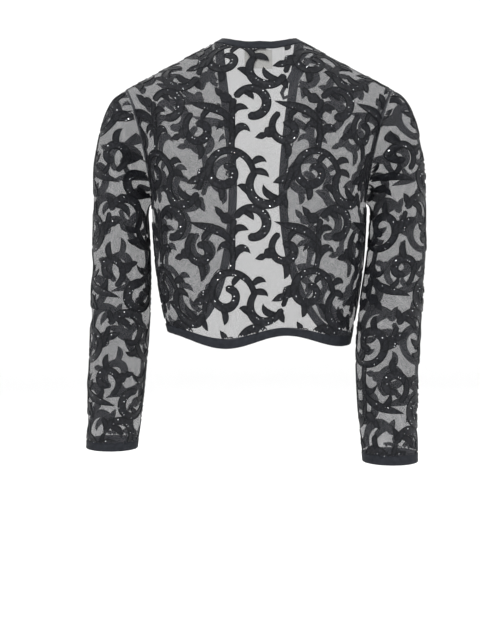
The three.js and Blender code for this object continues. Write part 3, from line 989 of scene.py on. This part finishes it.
for name, (shape, sides) in CUTS.items():
    flat, mark, height, faces = laid_chart(name)
    kept = inside(flat, moved_in(OUTLINES[name], EDGE_INSET))
    faces = faces[kept[faces].all(axis=1)]
    used, back_to = np.unique(faces, return_inverse=True)
    cord = np.tile(ON_CORD, len(flat) // len(ON_CORD))[used]
    flat, mark, height = flat[used], mark[used], height[used]
    places = shape.carry(flat, NET_HEIGHT + crease(name, flat) + height)
    add_mesh(
        name + "_embroidery", places, back_to.reshape(faces.shape), stitch_material, mark, cord=cord)
    print(name, "embroidery:", len(faces), "faces")

# %% [markdown]
# ## Seams
#
# A low ridge runs round each piece where it is sewn to the next one. It is centred nearly on the edge, so
# that the ridges of two pieces meet and close the seam between them.

# %% Seams
SEAM = {"half": 1.0, "inset": 0.2, "step": 4.0}
SEAM_PROFILE = ((-1, 0), (-0.65, 0.4), (0, 0.6), (0.65, 0.4), (1, 0))  # share of the half width, height

seam_shares, seam_heights = np.array(SEAM_PROFILE).T
across = SEAM["half"] * seam_shares
for name, (shape, sides) in CUTS.items():
    line = moved_in(OUTLINES[name], SEAM["inset"])
    line = np.vstack([line, line[:1]])
    line, _, at = spaced(line, np.zeros(len(line)), SEAM["step"])
    aside = left_of(np.gradient(line, axis=0))
    flat = (line[:, None] + across[None, :, None] * aside[:, None]).reshape(-1, 2)
    height = np.tile(seam_heights, len(line))
    places = shape.carry(flat, NET_HEIGHT + crease(name, flat) + height)
    mark = np.stack([np.tile(across, len(line)), np.repeat(at, len(across))], axis=1)
    faces = grid_faces(len(line), len(across))
    add_mesh(name + "_seam", places, faces, seam_material, mark)

# %% [markdown]
# ## Bindings
#
# A binding is a strip of cloth folded over the raw edge and sewn down, with a soft pucker from the sewing.
# `band` sweeps its section along a seam line, a little over the net's edge, so the net ends inside it.

# %% A binding along a line
BAND_WIDTH = 11
OVERLAP = 1.2
BAND_PROFILE = (  # share of the width, height
    (0, 1.0), (0.03, 1.9), (0.13, 2.3), (0.3, 2.15), (0.6, 2.15), (0.85, 2.3), (0.97, 1.9), (1, 0.9),
    (0.97, 0), (0.7, -0.25), (0.3, -0.25), (0.03, 0.1))
PUCKERS = ((0.12, 1.1, 0), (0.1, 0.43, 1))  # height, turns of phase per mm, phase at the start


def moved_right(line, distance):
    return line - distance * left_of(np.gradient(line, axis=0))


def band(name, shape, line, start=None, finish=None, flip=False):
    near, far = moved_right(line, -OVERLAP), moved_right(line, BAND_WIDTH)
    if start is not None:
        far[0] = start
    if finish is not None:
        far[-1] = finish
    shares, heights = np.array(BAND_PROFILE).T
    flat = near[:, None] * (1 - shares[None, :, None]) + far[:, None] * shares[None, :, None]
    if flip:
        flat = mirrored(flat)
    at = lengths_along(line)
    pucker = sum(rise * np.sin(at * rate + phase) for rise, rate, phase in PUCKERS)
    height = heights[None, :] + pucker[:, None]
    rows, columns = flat.shape[:2]
    places = shape.carry(flat.reshape(-1, 2), height.ravel())
    faces = grid_faces(rows, columns, closed=True)
    ends = [list(range(columns))[::-1], [(rows - 1) * columns + k for k in range(columns)]]
    if not flip:
        faces = faces[:, ::-1]
        ends = [end[::-1] for end in ends]
    mark = np.stack([np.tile(shares * BAND_WIDTH, rows), np.repeat(at, columns)], axis=1)
    return add_mesh(name, places, faces.tolist() + ends, binding_material, mark)


print("points round a binding:", len(BAND_PROFILE))

# %% [markdown]
# Six bindings finish the garment: the back neck, the two front edges with the hem of each front, the back
# hem and the two cuffs. Where two of them meet, a hair is left between their ends.

# %% Bindings
GAP = 0.15
END_GAP = 0.3
CUFF_BAND_STEPS = 90

end_u = NECK_U - BAND_WIDTH
back_end = float(back.top(end_u)) - END_GAP
front_end = float(front.top(end_u)) - END_GAP
neck_seam = neck_line.copy()
neck_seam[[0, -1], 1] -= GAP
front_seam = joined(front_edge[::-1], front_hem)
front_seam[0, 1] -= GAP
front_seam[-1, 0] -= GAP
hem_seam = back_hem.copy()
hem_seam[0, 0] += GAP
hem_seam[-1, 0] -= GAP
cuff_end = SLEEVE_GIRTH / 2 - GAP
cuff_seam = straight((-cuff_end, 0), (cuff_end, 0), CUFF_BAND_STEPS)
bands = {
    "neck_band": band("neck_binding", back, neck_seam[::-1], (end_u, back_end), (-end_u, back_end)),
    "front_band_left": band("front_left_binding", front, front_seam, (end_u, front_end)),
    "front_band_right": band("front_right_binding", front, front_seam, (end_u, front_end), flip=True),
    "hem_band": band("hem_binding", back, hem_seam),
    "cuff_left": band("cuff_left_binding", sleeves["left"], cuff_seam),
    "cuff_right": band("cuff_right_binding", sleeves["right"], cuff_seam),
}
for node, obj in bands.items():
    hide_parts(node)
print("bindings:", len(bands))

# %% [markdown]
# ## Hiding the solids under the net sheets
#
# Each net piece takes the place of its solid, which is hidden, with its embroidery and its seams on it. Its
# flat size, that of the cut piece, is worked out but not used.

# %% Sheets
for name, obj in net_objects.items():
    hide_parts(name)
    size = OUTLINES[name].max(axis=0) - OUTLINES[name].min(axis=0)
    width, length = (float(x) / 1000 for x in size)

# %% [markdown]
# ## Label and hanger loop
#
# A bare cream label and a folded ribbon are sewn inside the back neck. Both are plain shapes, so the solids
# stay and only get their finish.

# %% Label and loop
for name, material in (("label", label_material), ("hanger_loop", ribbon_material)):
    obj = NODES[name]
    obj.data.materials.clear()
    obj.data.materials.append(material)
    print(name, "finish:", material.name)

# %% [markdown]
# ## The floor
#
# A round pale floor curves up into a low wall all round, so that no edge shows from any side.

# %% Floor
FLOOR = {"z": -0.8, "centre": 0.001, "radius": 3.2, "bend": 0.9, "height": 1.8, "sides": 64}
BEND_POINTS = 17


def round_floor():
    """Rings of points from the centre of the floor out to the top of the wall."""
    bend = FLOOR["bend"]
    run = [(FLOOR["centre"], 0.0)]
    for angle in np.linspace(0, math.pi / 2, BEND_POINTS):
        run.append((FLOOR["radius"] + bend * math.sin(angle), bend * (1 - math.cos(angle))))
    run.append((FLOOR["radius"] + bend, FLOOR["height"]))
    turns = np.linspace(0, 2 * math.pi, FLOOR["sides"], endpoint=False)
    points = [(out * math.cos(a), out * math.sin(a), FLOOR["z"] + up) for out, up in run for a in turns]
    mesh = bpy.data.meshes.new("floor")
    mesh.from_pydata(points, [], grid_faces(len(run), len(turns), closed=True).tolist())
    smooth(mesh)
    return add_object("floor", mesh)


floor = round_floor()
floor_material, tree, shader = new_material("pale floor", (0.94, 0.94, 0.94), roughness=0.9)
place = tree.nodes.new("ShaderNodeTexCoord").outputs["Object"]
varied_colour(tree, shader, place, 0.5, dark=(0.93, 0.93, 0.93), light=(0.95, 0.95, 0.95))
floor.data.materials.append(floor_material)
print("floor:", len(floor.data.polygons), "faces, at", FLOOR["z"], "m")

# %% [markdown]
# ## The light
#
# An even white sky lights the net from all sides, as in a studio. One smaller light from behind brings out
# the relief of the cords, and two broad ones soften its shadows.

# %% Light
LIT_PLACE = (0, 0, -0.25)
LIGHTS = {  # place, size, power
    "key": ((0.9, 1.7, 0.9), 0.4, 30),
    "fill": ((-1.3, 1.3, 0.3), 0.7, 12),
    "front": ((0.2, -1.9, 0.8), 0.9, 12),
}

world = bpy.data.worlds.new("studio")
bpy.context.scene.world = world
world.use_nodes = True
background = world.node_tree.nodes["Background"]
background.inputs["Color"].default_value = (1, 1, 1, 1)
background.inputs["Strength"].default_value = 1.0
for name, (place, size, power) in LIGHTS.items():
    data = bpy.data.lights.new(name, "AREA")
    data.size = size
    data.energy = power
    light = add_object(name, data)
    light.location = place
    light.rotation_euler = (Vector(LIT_PLACE) - Vector(place)).to_track_quat("-Z", "Y").to_euler()
bpy.context.scene.view_settings.view_transform = "Standard"
print("lights:", ", ".join(LIGHTS))
